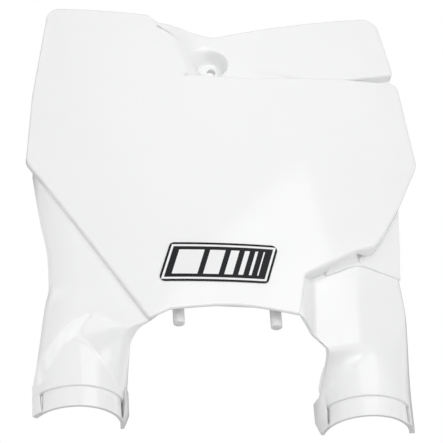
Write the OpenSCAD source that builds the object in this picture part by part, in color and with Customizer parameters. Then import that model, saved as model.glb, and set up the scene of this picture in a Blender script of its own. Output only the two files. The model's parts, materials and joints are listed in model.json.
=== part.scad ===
// Front number board of a motocross bike: one moulded shell that sits on the two fork tubes.
// X runs to the viewer's right, Y runs back towards the forks and Z runs up along the fork tubes.
// The origin is the centre of the top bolt hole, on the face that the bolt head meets.
// Depths are counted back from the board's bowed front.

/* [Fork and fixings] */
// Distance between the axes of the two fork tubes
fork_spacing = 206; // [196:1:220]
// Radius of a fork tube, which is the bore of a cup
tube_r = 30.5; // [28:0.5:33]
// Distance of the fork axes behind the top bolt hole
fork_back = 39; // [34:1:45]
// Height of the lower end of the cups
cup_bottom = -286; // [-296:1:-278]
// Radius of the top bolt hole
bolt_r = 3.2; // [2.6:0.1:4.2]
// Radius of a locating peg
peg_r = 4.1; // [3:0.1:5]
// Length of a locating peg below its ledge
peg_length = 19; // [12:1:24]
// Distance between the two pegs
peg_spacing = 69.6; // [60:0.2:74]

/* [Shell] */
// Thickness of the moulded wall
wall = 2.5; // [2:0.1:3.5]
// Radius of the board's front, which bows forward about a vertical axis
board_bow_r = 520; // [450:10:700]
// Sideways place of the board's crest
crest_x = 8; // [-10:1:20]
// Distance of the board's crest in front of the bolt face
crest_front = 18; // [15:0.5:22]
// Depth of the upper wing
wing_step = 6; // [4:0.5:9]
// Depth of the groove between the wing and the board
groove_depth = 17; // [14:0.5:20]
// Depth of the left skirt
left_step = 4.5; // [4:0.5:9]
// Depth of the right leg
leg_step = 13.5; // [12:0.5:15]
// Depth at which the scoop under the right edge starts
scoop_edge = 3.5; // [3:0.5:6]

/* [Bolt pocket] */
// Radius of the pocket's mouth
pocket_r = 11; // [9:0.5:14]
// Amount by which the pocket narrows towards its floor
pocket_draft = 2; // [0.5:0.5:3]
// Thickness of the pocket's floor
floor_t = 3; // [2:0.5:5]
// Height of the ring on the floor that the bolt head meets
boss_h = 2.2; // [1:0.1:4]

/* [Cups] */
// Thickness of a cup's wall above the strap band
cup_wall = 4; // [3:0.1:5]
// Height of the band where the strap runs
band_h = 15.3; // [12:0.1:18]
// Depth of the strap band in the cup's face
band_depth = 1.6; // [0.6:0.1:2]
// Width of a strap slot at its upper end
slot_w = 4; // [2.5:0.1:4]
// Height of the rim under a strap slot
slot_rim = 2.3; // [1.5:0.1:4]

/* [Decal] */
// Length of the decal
decal_w = 88; // [60:1:100]
// Height of the decal
decal_h = 32; // [20:1:36]
// Thickness of the vinyl
decal_t = 0.4; // [0.3:0.1:0.6]
// Thickness of the glue under it
glue_t = 0.1; // [0.05:0.05:0.2]

/* [Hidden] */
$fn = 64;
board_white = [0.95, 0.95, 0.96];
vinyl_black = [0.08, 0.08, 0.09];

// How far pieces reach into each other where they are moulded together
bite = wall / 2;
// Inset of a hanging wall from the plate's own edge
edge_inset = 0.05;
// Extent of cutting and trimming shapes beyond the part
far = 90;

crest_y = -crest_front;
bow_axis_y = crest_y + board_bow_r;
bow_facets = 360;

// Outline of the board seen from the front: x, z and corner radius
board_outline = [
    [-123.5, 52, 9], [-49, 41, 6], [-40.5, 32.5, 2], [-21.5, -15.5, 2], [25, -16.5, 60],
    [146, 0.5, 6], [154.2, -74, 12], [134, -118, 40], [120, -142.5, 30], [111, -155.5, 6],
    [96, -161.8, 20], [55.5, -187, 4], [49.5, -220.5, 2], [5, -214.5, 200], [-43, -219.5, 6],
    [-57.5, -226.5, 2], [-140.6, -88, 12], [-136, -30, 60]
];

// Outline of the upper wing, down to the wall that joins it to the board
wing_outline = [
    [-40, 20, 1], [-34.2, 35.4, 2], [0, 24.5, 14], [135.5, 67, 11], [146, 14, 4],
    [96, -5, 1], [96, -13, 1], [25, -19, 1], [-12, -19, 1]
];

// Outline of the floor of the groove between the wing and the board
groove_outline = [[92, -14, 1], [92, -3, 1], [145, 16, 1], [145.5, -5, 1]];

// Stretches of the board's edge that carry a wall running back, as areas seen from the front
left_leg_stretch = [[-150, -80], [-132, -80], [-56, -207], [-56, -232], [-75, -232]];
right_leg_stretch = [[52, -190], [52, -176], [79, -160], [79, -182], [62, -195]];
scoop_stretch = [[78, -158], [78, -182], [97.4, -174], [97.4, -150]];
right_skirt_stretch = [[101.5, -152], [101.5, -166], [118, -160], [145, -115], [136, -100], [120, -120]];
wing_stretch = [[-24, -19], [-24, -5], [96, -2], [96, -22]];
groove_stretch = [[95, -2], [95, -22], [152, -12], [152, 8]];
wing_lip_stretch = [[93, -14], [93, 2], [140, 20], [150, 20], [150, 4]];

// Ramp from the board down to the wing: its upper edge and its foot, each from top to bottom
ramp_edge = [[-40.5, 32.5], [-21.5, -15.5]];
ramp_foot = [[-33.5, 34.5], [-12.5, -17.5]];
ramp_rows = 5;

boss_top_r = bolt_r + 1.4;
boss_foot_r = bolt_r + 3.6;

// Ledge behind the lower edge that carries the pegs
peg_y = -0.6;
ledge_z = -204;
ledge_side = 9;
ledge_rim = 1.5;
gusset_h = 24;
gusset_t = 2;
gusset_side = 7;
peg_root_h = 3;
peg_root_r = 1.5;

// Cup sizes: turns are counted from the front of a fork tube
half_fork = fork_spacing / 2;
cup_r = tube_r + cup_wall;
cup_loft_r = cup_r + 0.1;
band_top = cup_bottom + band_h;
cup_loft_end = band_top + 9;
collar_h = 13;
relief = 0.7;
inner_wrap = 90;
left_outer_wrap = 68;
right_outer_wrap = 78;
inner_slot_turn = 60.4;
outer_slot_turn = 48.9;
lug_r = cup_r + 2;
lug_h = band_h + 8.7;
slot_h = band_h - slot_rim;
lug_bevel = 9;
cup_facets = 96;

// Spacing of the rows of points down a leg, and the count of points across the left leg
row_step = 5;
left_columns = 22;
leg_root = 0.8;

// Left leg: sideways place of its outer and inner edge by height
left_top = -92;
left_outer = [
    [-92, -135], [-129, -130.3], [-166, -124.7], [-189, -124.1], [-204, -126.8],
    [-227, -129.8], [-262, -134]
];
left_inner = [
    [-92, -133], [-97, -131.5], [-205, -67], [-217, -49], [-225, -56], [-231, -64.5],
    [-240, -69], [-262, -69]
];
// Height above the cup's foot where the leg starts to turn into the cup, by share of its width
left_shoulder = [[0, 34], [0.12, 41], [0.3, 58], [0.5, 63], [0.75, 60], [1, 64]];
// Length over which it turns, by share of its width
left_fall = [[0, 22], [0.5, 28], [1, 42]];
left_wrap = [-68, 80];
// Width and depth of the rounding along the left leg's outer edge
left_roll_w = 22;
left_roll_y = 8.5;

// Right leg: inner edge, the two folds of its faces and outer edge by height
right_top = -188;
right_inner = [[-166, 50], [-187, 49], [-219, 49], [-226, 58.5], [-233, 66], [-241, 71], [-262, 72]];
right_fold_in = [[-166, 68], [-262, 62]];
right_fold_out = [[-166, 99.5], [-262, 94]];
right_outer = [[-166, 133.3], [-198, 135.8], [-244, 137.8], [-262, 136.8]];
right_shoulder = [[0, 56], [0.3, 45], [0.65, 53], [1, 72]];
right_fall = [[0, 32], [0.5, 30], [1, 30]];
right_wrap = [-74, 76];
// Sideways places between which the inner face starts, and place and Y of the outer edge
right_start = [48, 51.5];
right_end = [139, 16];
// Shares of the width at the two folds, and the counts of columns on the three faces
right_shares = [0.3, 0.65];
right_columns = [6, 7, 8];
// Height of the right leg's upper lip by share of its width: it closes the notch from behind
right_lip = [
    [0, -176], [0.3, -177], [0.4, -171.5], [0.5, -171], [0.55, -168], [0.6, -156],
    [0.65, -149], [0.69, -149], [0.74, -156], [0.79, -162], [1, -165]
];

// Right skirt by height: edge along the board, outer edge and Y of the outer edge
skirt_rows = [-106, -112, -118, -126, -134, -142, -149, -154, -158, -161.5, -163.8, -165.7];
skirt_in = [
    [-106, 138], [-118, 132.8], [-142, 118.8], [-152, 106.8], [-158, 102.8],
    [-161.5, 101.6], [-163.8, 102.2], [-165.7, 104.2]
];
skirt_out = [[-106, 139], [-111, 137.6], [-135, 136.2], [-166, 133.8]];
skirt_out_y = [[-106, 10], [-111, 10.4], [-135, 11.8], [-166, 13.2]];
skirt_columns = 8;
// Drop of the skirt's lower edge from its inner to its outer end
skirt_drop = 3.4;
// The skirt's lower edge stands in front of the right leg; the skirt starts shallow at its upper
// tip: place of the tip, depth there and growth inwards
skirt_lead = 1.9;
right_step = leg_step - skirt_lead;
skirt_tip_x = 139;
skirt_tip_depth = 8;
skirt_growth = 2;

// Scoop under the right edge: ends sideways, how far each end leans outwards on the way down, and
// height of the upper and lower edge by sideways place
scoop_x = [78, 97.3];
scoop_lean = [3.5, 6.4];
scoop_upper = [[74, -174.6], [96, -161], [101, -158.8], [104, -157.5]];
scoop_lower = [[74, -178.3], [84.5, -172.8], [94, -168], [98.5, -166.6], [104, -165.9]];
scoop_columns = 6;
scoop_lines = 8;

decal_centre = [-7, -181.5];
decal_lean = 10;
decal_corner = 4;

function unit(v) = v / norm(v);
function rotated(v, t) = [v.x * cos(t) - v.y * sin(t), v.x * sin(t) + v.y * cos(t)];
function mix(a, b, t) = a + (b - a) * t;
function share_between(a, b, t) = (t - a) / (b - a);
function clamped(t) = min(max(t, 0), 1);
function smooth(t) = clamped(t) * clamped(t) * (3 - 2 * clamped(t));

// Value at a height from rows of height and value that run downwards
function at_height(table, z) = lookup(-z, [for (row = table) [-row[0], row[1]]]);

// Y of the board's bowed front at a sideways place
function board_y(x) = bow_axis_y - sqrt(board_bow_r * board_bow_r - (x - crest_x) * (x - crest_x));

// Points of one rounded corner: q is the corner, with its radius third; p and s are its neighbours
function corner_arc(p, q, s) =
    let (a = unit([p.x - q.x, p.y - q.y]))
    let (b = unit([s.x - q.x, s.y - q.y]))
    let (half = acos(a * b) / 2)
    let (centre = [q.x, q.y] + unit(a + b) * q[2] / sin(half))
    let (start = [q.x, q.y] + a * q[2] / tan(half) - centre)
    let (turn = sign(a.y * b.x - a.x * b.y) * (180 - 2 * half))
    let (steps = max(1, ceil(abs(turn) / 12)))
    [for (k = [0:steps]) centre + rotated(start, turn * k / steps)];

function rounded(pts) =
    let (n = len(pts))
    [for (i = [0:n - 1]) each corner_arc(pts[(i + n - 1) % n], pts[i], pts[(i + 1) % n])];

// A flat outline drawn in X and Z, extruded along Y through the whole part
module through() {
    translate([0, far, 0]) rotate([90, 0, 0]) linear_extrude(2 * far) children();
}

// Bowed layer between two depths
module bowed(from, to) {
    height = far - cup_bottom;
    translate([crest_x, bow_axis_y, cup_bottom]) difference() {
        cylinder(h = height, r = board_bow_r - from, $fn = bow_facets);
        translate([0, 0, -1]) cylinder(h = height + 2, r = board_bow_r - to, $fn = bow_facets);
    }
}

module bowed_plate(from, to) {
    intersection() {
        bowed(from, to);
        through() children();
    }
}

// Wall that hangs back from one stretch of an outline's edge, down to a depth
module hanging_wall(outline, from, to, stretch) {
    bowed_plate(from, to) intersection() {
        difference() {
            offset(delta = -edge_inset) polygon(rounded(outline));
            offset(delta = -wall) polygon(rounded(outline));
        }
        polygon(stretch);
    }
}

module board() {
    bowed_plate(0, wall) polygon(rounded(board_outline));
    hanging_wall(board_outline, bite, left_step + bite, left_leg_stretch);
    hanging_wall(board_outline, bite, leg_step + bite, right_leg_stretch);
    hanging_wall(board_outline, bite, scoop_edge + bite, scoop_stretch);
    hanging_wall(board_outline, bite, right_step + bite, right_skirt_stretch);
    hanging_wall(board_outline, bite, wing_step + bite, wing_stretch);
    hanging_wall(board_outline, bite, groove_depth - bite, groove_stretch);
}

module wing() {
    bowed_plate(wing_step, wing_step + wall) difference() {
        polygon(rounded(wing_outline));
        circle(r = pocket_r);
    }
    hanging_wall(wing_outline, wing_step + bite, groove_depth - bite, wing_lip_stretch);
    bowed_plate(groove_depth - wall, groove_depth) polygon(rounded(groove_outline));
}

// Slanted ramp that joins the board to the wing
module ramp() {
    shell_of([for (i = [0:ramp_rows - 1])
        let (t = i / (ramp_rows - 1))
        let (edge = mix(ramp_edge[0], ramp_edge[1], t))
        let (foot = mix(ramp_foot[0], ramp_foot[1], t))
        [for (share = [-0.15, 0.4, 1])
            let (p = mix(edge, foot, share))
            [p.x, board_y(p.x) + mix(bite / 2, wing_step + bite, clamped(share)), p.y]]],
        wall);
}

// Body of the round pocket for the bolt head
module bolt_pocket() {
    intersection() {
        rotate([-90, 0, 0]) translate([0, 0, -crest_front])
            cylinder(h = crest_front + boss_h + floor_t, r = pocket_r + wall);
        bowed(wing_step + bite, far);
    }
}

// Hollow of the pocket around its ring, and the hole through the ring
module bolt_pocket_space() {
    mouth = crest_front - wing_step;
    rotate([-90, 0, 0]) {
        difference() {
            union() {
                translate([0, 0, -mouth - far]) cylinder(h = far, r = pocket_r);
                translate([0, 0, -mouth])
                    cylinder(h = mouth + boss_h, r1 = pocket_r, r2 = pocket_r - pocket_draft);
            }
            cylinder(h = boss_h + 1, r1 = boss_top_r, r2 = boss_foot_r);
        }
        translate([0, 0, -1]) cylinder(h = boss_h + floor_t + 2, r = bolt_r);
    }
}

// Ledge behind the lower edge, with its gussets and the two pegs
module peg_ledge() {
    half = peg_spacing / 2 + ledge_side;
    back = peg_y + peg_r + ledge_rim;
    intersection() {
        bowed(bite, far);
        union() {
            translate([-half, crest_y, ledge_z]) cube([2 * half, back - crest_y, wall]);
            for (side = [-1, 1], edge = [-1, 1])
                translate([side * peg_spacing / 2 + edge * gusset_side - gusset_t / 2, 0, ledge_z + bite])
                    rotate([90, 0, 90]) linear_extrude(gusset_t)
                        polygon([[crest_y, 0], [back - 1, 0], [back - 1, wall], [crest_y, gusset_h]]);
        }
    }
    for (side = [-1, 1])
        translate([side * peg_spacing / 2, peg_y, ledge_z - peg_length]) {
            cylinder(h = peg_length + bite, r = peg_r);
            translate([0, 0, peg_length - peg_root_h])
                cylinder(h = peg_root_h + bite, r1 = peg_r, r2 = peg_r + peg_root_r);
        }
}

// Closed shell from rows of front points: each point is moved back level by a thickness, given once
// or for each point
module shell_of(front, thick) {
    rows = len(front);
    cols = len(front[0]);
    count = rows * cols;
    back = [for (i = [0:rows - 1]) [for (j = [0:cols - 1])
        let (across = front[i][min(j + 1, cols - 1)] - front[i][max(j - 1, 0)])
        let (down = front[min(i + 1, rows - 1)][j] - front[max(i - 1, 0)][j])
        let (n = cross(across, down))
        front[i][j] + unit([n.x, n.y, 0]) * (is_list(thick) ? thick[i][j] : thick)]];
    at = function(i, j) i * cols + j;
    behind = function(i, j) count + i * cols + j;
    rim = concat(
        [for (j = [0:cols - 2]) [0, j]],
        [for (i = [0:rows - 2]) [i, cols - 1]],
        [for (j = [cols - 1:-1:1]) [rows - 1, j]],
        [for (i = [rows - 1:-1:1]) [i, 0]]);
    faces = [
        for (i = [0:rows - 2], j = [0:cols - 2]) each [
            [at(i, j), at(i, j + 1), at(i + 1, j + 1)],
            [at(i, j), at(i + 1, j + 1), at(i + 1, j)],
            [behind(i, j), behind(i + 1, j + 1), behind(i, j + 1)],
            [behind(i, j), behind(i + 1, j), behind(i + 1, j + 1)]],
        for (k = [0:len(rim) - 1])
            let (a = rim[k])
            let (b = rim[(k + 1) % len(rim)])
            each [
                [at(a[0], a[1]), behind(a[0], a[1]), behind(b[0], b[1])],
                [at(a[0], a[1]), behind(b[0], b[1]), at(b[0], b[1])]]
    ];
    polyhedron(points = concat([for (row = front) each row], [for (row = back) each row]), faces = faces);
}

// Share of the way from the leg's own face to the cup, at a share of its width and a height
function cup_share(shoulder, fall, u, z) =
    smooth((cup_bottom + lookup(u, shoulder) - z) / lookup(u, fall));

// Place on a cup's outside at a share of its wrap; side is -1 on the left and 1 on the right
function cup_point(side, wrap, u) =
    let (turn = mix(wrap[0], wrap[1], u))
    [side * half_fork + cup_loft_r * sin(turn), fork_back - cup_loft_r * cos(turn)];

function left_point(u, z) =
    let (x0 = at_height(left_outer, z))
    let (x = mix(x0, at_height(left_inner, z), u))
    let (roll = max(0, 1 - (x - x0) / left_roll_w))
    let (face = [x, board_y(x) + left_step + left_roll_y * roll * roll])
    let (xy = mix(face, cup_point(-1, left_wrap, u), cup_share(left_shoulder, left_fall, u, z)))
    [xy.x, xy.y, z];

module left_leg() {
    rows = [for (z = [left_top:-row_step:cup_loft_end]) z, cup_loft_end - 1];
    shell_of(
        [for (z = rows) [for (j = [0:left_columns]) left_point(j / left_columns, z)]],
        [for (z = rows) [for (j = [0:left_columns])
            mix(wall, cup_wall + leg_root, cup_share(left_shoulder, left_fall, j / left_columns, z))]]);
}

// Sideways place on the right leg at a share of its width: inner face, front face, outer face
function right_x(u, z) =
    let (start = at_height(right_inner, z))
    let (fold_in = max(at_height(right_fold_in, z), start + 1))
    let (fold_out = at_height(right_fold_out, z))
    u < right_shares[0] ? mix(start, fold_in, u / right_shares[0]) :
    u < right_shares[1] ? mix(fold_in, fold_out, share_between(right_shares[0], right_shares[1], u)) :
    mix(fold_out, at_height(right_outer, z), share_between(right_shares[1], 1, u));

function right_y(x, z) =
    let (fold_in = at_height(right_fold_in, z))
    let (fold_out = at_height(right_fold_out, z))
    let (start_y = board_y(right_start[1]) + bite / 2)
    lookup(x, [[right_start[0], start_y], [right_start[1], start_y], [fold_in, board_y(fold_in) + leg_step],
               [fold_out, board_y(fold_out) + leg_step - 1], right_end]);

function right_point(u, z) =
    let (x = right_x(u, z))
    let (share = cup_share(right_shoulder, right_fall, u, z))
    let (xy = mix([x, right_y(x, z)], cup_point(1, right_wrap, u), share))
    [xy.x, xy.y, z];

module right_leg() {
    inner = [for (j = [0:right_columns[0] - 1]) right_shares[0] * j / right_columns[0]];
    front = [for (j = [0:right_columns[1] - 1])
        mix(right_shares[0], right_shares[1], j / right_columns[1])];
    outer = [for (j = [0:right_columns[2]]) mix(right_shares[1], 1, j / right_columns[2])];
    shares = concat(inner, front, outer);
    rows = [
        for (t = [0, 0.5]) [for (u = shares) mix(lookup(u, right_lip), right_top, t)],
        for (z = [right_top:-row_step:cup_loft_end]) [for (u = shares) z],
        [for (u = shares) cup_loft_end - 1]];
    shell_of(
        [for (row = rows) [for (j = [0:len(shares) - 1]) right_point(shares[j], row[j])]],
        [for (row = rows) [for (j = [0:len(shares) - 1])
            mix(wall, cup_wall + leg_root, cup_share(right_shoulder, right_fall, shares[j], row[j]))]]);
}

// Triangular skirt between the board's right edge and the right leg
module right_skirt() {
    shell_of([for (z = skirt_rows)
        let (x = at_height(skirt_in, z))
        let (depth = min(right_step, (skirt_tip_x - x) * skirt_growth + skirt_tip_depth))
        let (start = [x, board_y(x) + depth, z])
        let (drop = skirt_drop * share_between(skirt_rows[0], skirt_rows[len(skirt_rows) - 1], z))
        let (end = [at_height(skirt_out, z), at_height(skirt_out_y, z), z - drop])
        [for (j = [0:skirt_columns]) mix(start, end, j / skirt_columns)]],
        wall);
}

// Concave scoop that leads from under the board's right edge to the right leg
module scoop() {
    shell_of([for (i = [0:scoop_lines])
        let (v = i / scoop_lines)
        [for (j = [0:scoop_columns])
            let (u = j / scoop_columns)
            let (x = mix(scoop_x[0] - scoop_lean[0] * v, scoop_x[1] + scoop_lean[1] * v * v, u))
            let (z = mix(lookup(x, scoop_upper), lookup(x, scoop_lower), v))
            [x, board_y(x) + mix(scoop_edge, right_step, 1 - cos(90 * v)), z]]],
        wall);
}

// Tall sector of space between two turns about a fork axis, counted from the front towards +X
module sector(from, to) {
    steps = max(1, ceil((to - from) / 40));
    translate([0, 0, -1]) linear_extrude(far)
        polygon([[0, 0], for (k = [0:steps]) let (t = mix(from, to, k / steps)) far * [sin(t), -cos(t)]]);
}

// Half-round cup on one fork tube: strap band, plain collar and the two lugs beyond the slots
module cup(side, outer_wrap) {
    translate([side * half_fork, fork_back, cup_bottom]) mirror([side > 0 ? 1 : 0, 0, 0]) difference() {
        union() {
            intersection() {
                union() {
                    cylinder(h = band_h + 1, r = cup_r - band_depth, $fn = cup_facets);
                    translate([0, 0, band_h]) cylinder(h = collar_h, r = cup_r, $fn = cup_facets);
                }
                sector(-outer_wrap, inner_wrap);
            }
            intersection() {
                union() {
                    cylinder(h = lug_bevel, r1 = cup_r - band_depth, r2 = lug_r, $fn = cup_facets);
                    translate([0, 0, lug_bevel])
                        cylinder(h = lug_h - lug_bevel, r = lug_r, $fn = cup_facets);
                }
                sector(inner_slot_turn, inner_wrap - 0.5);
            }
            intersection() {
                cylinder(h = lug_h, r = cup_r + 0.05, $fn = cup_facets);
                sector(0.5 - outer_wrap, -outer_slot_turn);
            }
        }
        for (turn = [inner_slot_turn, -outer_slot_turn])
            translate([cup_r * sin(turn), 0, band_h]) rotate([90, 0, 0]) linear_extrude(far)
                polygon([[-slot_w / 2, 0], [slot_w / 2, 0], [slot_w / 4, -slot_h], [-slot_w / 4, -slot_h]]);
    }
}

// Room for a fork tube: it fits the cup and its collar, and has clearance behind the leg above them
module tube_space(side) {
    translate([side * half_fork, fork_back, cup_bottom]) {
        translate([0, 0, -1]) cylinder(h = band_h + collar_h + 1, r = tube_r, $fn = cup_facets);
        translate([0, 0, band_h + collar_h]) cylinder(h = far, r = tube_r + relief, $fn = cup_facets);
    }
}

module number_board() {
    color(board_white) difference() {
        union() {
            board();
            wing();
            ramp();
            bolt_pocket();
            peg_ledge();
            left_leg();
            right_leg();
            right_skirt();
            scoop();
            cup(-1, left_outer_wrap);
            cup(1, right_outer_wrap);
        }
        bolt_pocket_space();
        tube_space(-1);
        tube_space(1);
    }
}

// Slanted bar of vinyl on the board's front
module decal() {
    half = [decal_w, decal_h] / 2;
    color(vinyl_black) bowed_plate(-decal_t - glue_t, -glue_t)
        translate(decal_centre)
            polygon(rounded([
                [decal_lean - half.x, half.y, decal_corner], [half.x, half.y, decal_corner],
                [half.x - decal_lean, -half.y, decal_corner], [-half.x, -half.y, decal_corner]]));
}

number_board();
decal();
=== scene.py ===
# %% [markdown]
# # A motocross number board
# The object is one moulding of white gloss plastic: a bowed board, a raised wing with a round
# pocket, and two legs that end in half-round cups on the fork tubes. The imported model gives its
# size and place. This notebook makes each part of the moulding again as a smooth surface, with
# rounded edges that catch the light, and then the vinyl decal, the plastic, the light and the camera.

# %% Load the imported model
import json
import math

import bpy
import numpy as np
from mathutils import Matrix, Vector


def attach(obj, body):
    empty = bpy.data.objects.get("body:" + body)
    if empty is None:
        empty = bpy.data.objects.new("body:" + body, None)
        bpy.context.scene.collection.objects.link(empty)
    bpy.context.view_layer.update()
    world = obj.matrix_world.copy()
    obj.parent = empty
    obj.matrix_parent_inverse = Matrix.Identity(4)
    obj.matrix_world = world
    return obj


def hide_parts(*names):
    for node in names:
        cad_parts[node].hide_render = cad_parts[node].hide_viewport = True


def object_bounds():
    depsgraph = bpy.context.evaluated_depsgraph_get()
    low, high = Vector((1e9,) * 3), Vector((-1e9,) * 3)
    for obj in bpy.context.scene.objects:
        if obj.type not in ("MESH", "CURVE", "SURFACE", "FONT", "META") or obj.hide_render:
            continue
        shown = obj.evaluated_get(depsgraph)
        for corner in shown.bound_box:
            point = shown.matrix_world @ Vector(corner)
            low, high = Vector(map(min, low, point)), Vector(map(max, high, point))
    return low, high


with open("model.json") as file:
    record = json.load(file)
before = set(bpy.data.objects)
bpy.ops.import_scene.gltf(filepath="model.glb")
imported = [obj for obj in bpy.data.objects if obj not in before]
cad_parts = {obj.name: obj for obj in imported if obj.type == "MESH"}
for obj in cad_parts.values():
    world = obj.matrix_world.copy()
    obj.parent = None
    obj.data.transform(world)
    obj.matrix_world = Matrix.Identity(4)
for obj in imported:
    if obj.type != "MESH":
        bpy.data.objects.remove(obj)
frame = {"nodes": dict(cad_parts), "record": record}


def corners(box):
    """The lowest and highest corner of a box as two plain lists of metres."""
    return [[float(value) for value in corner] for corner in box]


cad_box = corners(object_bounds())
print("Packed nodes:", sorted(frame["nodes"]), "box in metres:", cad_box)

# %% [markdown]
# ## Sizes
# Every length below is in millimetres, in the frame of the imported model: X to the viewer's right,
# Y back to the forks, Z up along the fork tubes, and the bolt hole at the origin. Some sizes are
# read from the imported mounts, so that the looks follow the model. Depths are counted back from
# the board's bowed front.

# %% Sizes of the moulding
MM = 0.001
mounts = {mount["name"]: mount for mount in frame["record"]["mounts"]}

wall = 2.5
bow_r = 520.0
crest_x = 8.0
crest_front = 18.0
wing_step = 6.0
groove_depth = 17.0
left_step = 4.5
leg_step = 13.5
right_step = leg_step - 1.9
scoop_edge = 3.5
bite = wall / 2
edge_r = 2.0
rear_inset = 2.3
wall_foot = 1.9

hole_r = mounts["top_bolt_hole"]["dims"]["r_mm"]
tube_r = mounts["left_fork_cup"]["dims"]["r_mm"]
half_fork = mounts["right_fork_cup"]["pos_m"][0] / MM
fork_back = mounts["right_fork_cup"]["pos_m"][1] / MM
cup_bottom = cad_box[0][2] / MM
print(f"Fork axes {2 * half_fork:.1f} mm apart, cups end at {cup_bottom:.1f} mm")

# %% [markdown]
# ## Helpers for curves
# A table of heights and places is turned into a smooth line with a cubic whose slope never
# overshoots the points, because a straight join between points would show as a crease in gloss
# plastic. A polygon becomes an outline with true arcs at its corners.

# %% Smooth tables and steps


def smooth_table(table, at):
    """Piecewise cubic through (place, value) points. Each slope is the harmonic mean of the two
    neighbouring slopes, or zero at a turning point, so the line keeps the order of its points."""
    rows = sorted(table)
    px = np.array([row[0] for row in rows], float)
    py = np.array([row[1] for row in rows], float)
    step = np.diff(px)
    rise = np.diff(py) / step
    slope = np.zeros(len(px))
    before, after = rise[:-1], rise[1:]
    same_way = before * after > 0
    total = np.where(same_way, before + after, 1)
    slope[1:-1] = np.where(same_way, 2 * before * after / total, 0)
    slope[0], slope[-1] = rise[0], rise[-1]
    at = np.clip(np.asarray(at, float), px[0], px[-1])
    i = np.clip(np.searchsorted(px, at) - 1, 0, len(px) - 2)
    t = (at - px[i]) / step[i]
    return (
        (2 * t**3 - 3 * t**2 + 1) * py[i]
        + (t**3 - 2 * t**2 + t) * step[i] * slope[i]
        + (3 * t**2 - 2 * t**3) * py[i + 1]
        + (t**3 - t**2) * step[i] * slope[i + 1]
    )


def smooth(t):
    """0 below 0, 1 above 1, and 3t^2 - 2t^3 between."""
    t = np.clip(t, 0, 1)
    return t * t * (3 - 2 * t)


def mix(a, b, t):
    """The point a share t of the way from a to b."""
    return a + (b - a) * t


def board_y(x):
    """Y of the board's front: a circle of radius bow_r about a vertical axis behind the crest."""
    return bow_r - crest_front - np.sqrt(bow_r**2 - (x - crest_x) ** 2)


print("Board front at the crest and 120 mm to its right:", board_y(np.array([crest_x, crest_x + 120.0])))

# %% Outlines with round corners


def rounded(corner_list, spacing=1.6):
    """A closed outline through (x, z, radius) corners. Each corner is an arc that touches both
    sides, with at least 12 points, and each side is cut into steps of about the given spacing."""
    count = len(corner_list)
    arcs = []
    for k in range(count):
        p, q, s = (np.array(corner_list[(k + d) % count][:2], float) for d in (-1, 0, 1))
        radius = corner_list[k][2]
        a = (p - q) / np.linalg.norm(p - q)
        b = (s - q) / np.linalg.norm(s - q)
        half = math.acos(np.clip(a @ b, -1, 1)) / 2
        middle = q + (a + b) / np.linalg.norm(a + b) * radius / math.sin(half)
        start = q + a * radius / math.tan(half) - middle
        turn = math.copysign(math.pi - 2 * half, a[1] * b[0] - a[0] * b[1])
        t = np.linspace(0, turn, 13)
        arcs.append(middle + np.stack([
            start[0] * np.cos(t) - start[1] * np.sin(t),
            start[0] * np.sin(t) + start[1] * np.cos(t)], 1))
    pieces = []
    for k in range(count):
        begin, end = arcs[k][-1], arcs[(k + 1) % count][0]
        steps = max(2, int(np.linalg.norm(end - begin) / spacing))
        t = np.linspace(0, 1, steps + 1)[1:-1, None]
        pieces += [arcs[k], mix(begin, end, t)]
    return np.concatenate(pieces)


def inward(outline):
    """Unit vectors that point into a closed outline, at right angles to the line through the
    two neighbours of each point."""
    along = np.roll(outline, -1, 0) - np.roll(outline, 1, 0)
    along /= np.linalg.norm(along, axis=1, keepdims=True)
    x, z = outline.T
    area = np.sum(x * np.roll(z, -1) - z * np.roll(x, -1))
    return np.stack([-along[:, 1], along[:, 0]], 1) * np.sign(area)


def inside(area, points):
    """True where a point lies in a polygon: a ray to the right crosses its sides an odd number
    of times."""
    px, pz = points[:, 0, None], points[:, 1, None]
    a = np.array(area, float)
    b = np.roll(a, -1, 0)
    crosses = (a[:, 1] > pz) != (b[:, 1] > pz)
    rise = np.where(b[:, 1] == a[:, 1], 1, b[:, 1] - a[:, 1])
    at = a[:, 0] + (pz - a[:, 1]) * (b[:, 0] - a[:, 0]) / rise
    return np.sum(crosses & (px < at), 1) % 2 == 1


def edge_depths(outline, plain, stretches, blur=3):
    """How deep the edge reaches at each point of an outline: the plain depth, or the one given for
    the stretch that holds the point, softened along the edge by a running mean."""
    depth = np.full(len(outline), float(plain))
    for area, reach in stretches:
        depth = np.where(inside(area, outline), reach, depth)
    return sum(np.roll(depth, k) for k in range(-blur, blur + 1)) / (2 * blur + 1)


# %% [markdown]
# ## Helpers for surfaces
# A surface is a grid of points, worked out as one array. The grid is closed where its ends meet,
# and an open end is closed by a fan of triangles. The side that faces outwards is found from the
# signed volume, so a surface can be written in either direction.

# %% Grids to meshes
made = []
crisp_angle = math.radians(35)


def new_piece(name, points, quads, triangles=()):
    """A mesh object from points in millimetres and its faces. Faces are turned round when the
    sum of their cone volumes is negative, and edges sharper than the crisp angle stay crisp."""
    points = np.asarray(points, float) * MM
    quads = np.asarray(quads, int).reshape(-1, 4)
    triangles = np.asarray(triangles, int).reshape(-1, 3)
    flat = np.concatenate([quads[:, [0, 1, 2]], quads[:, [0, 2, 3]], triangles])
    a, b, c = (points[flat[:, k]] for k in range(3))
    if np.einsum("ij,ij->", a, np.cross(b, c)) < 0:
        quads, triangles = quads[:, ::-1], triangles[:, ::-1]
    mesh = bpy.data.meshes.new(name)
    mesh.from_pydata(points, [], quads.tolist() + triangles.tolist())
    mesh.update()
    mesh.shade_smooth()
    mesh.set_sharp_from_angle(angle=crisp_angle)
    piece = bpy.data.objects.new(name, mesh)
    bpy.context.scene.collection.objects.link(piece)
    made.append(piece)
    print(f"{name}: {len(points)} points, {len(quads) + len(triangles)} faces")
    return piece


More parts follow.
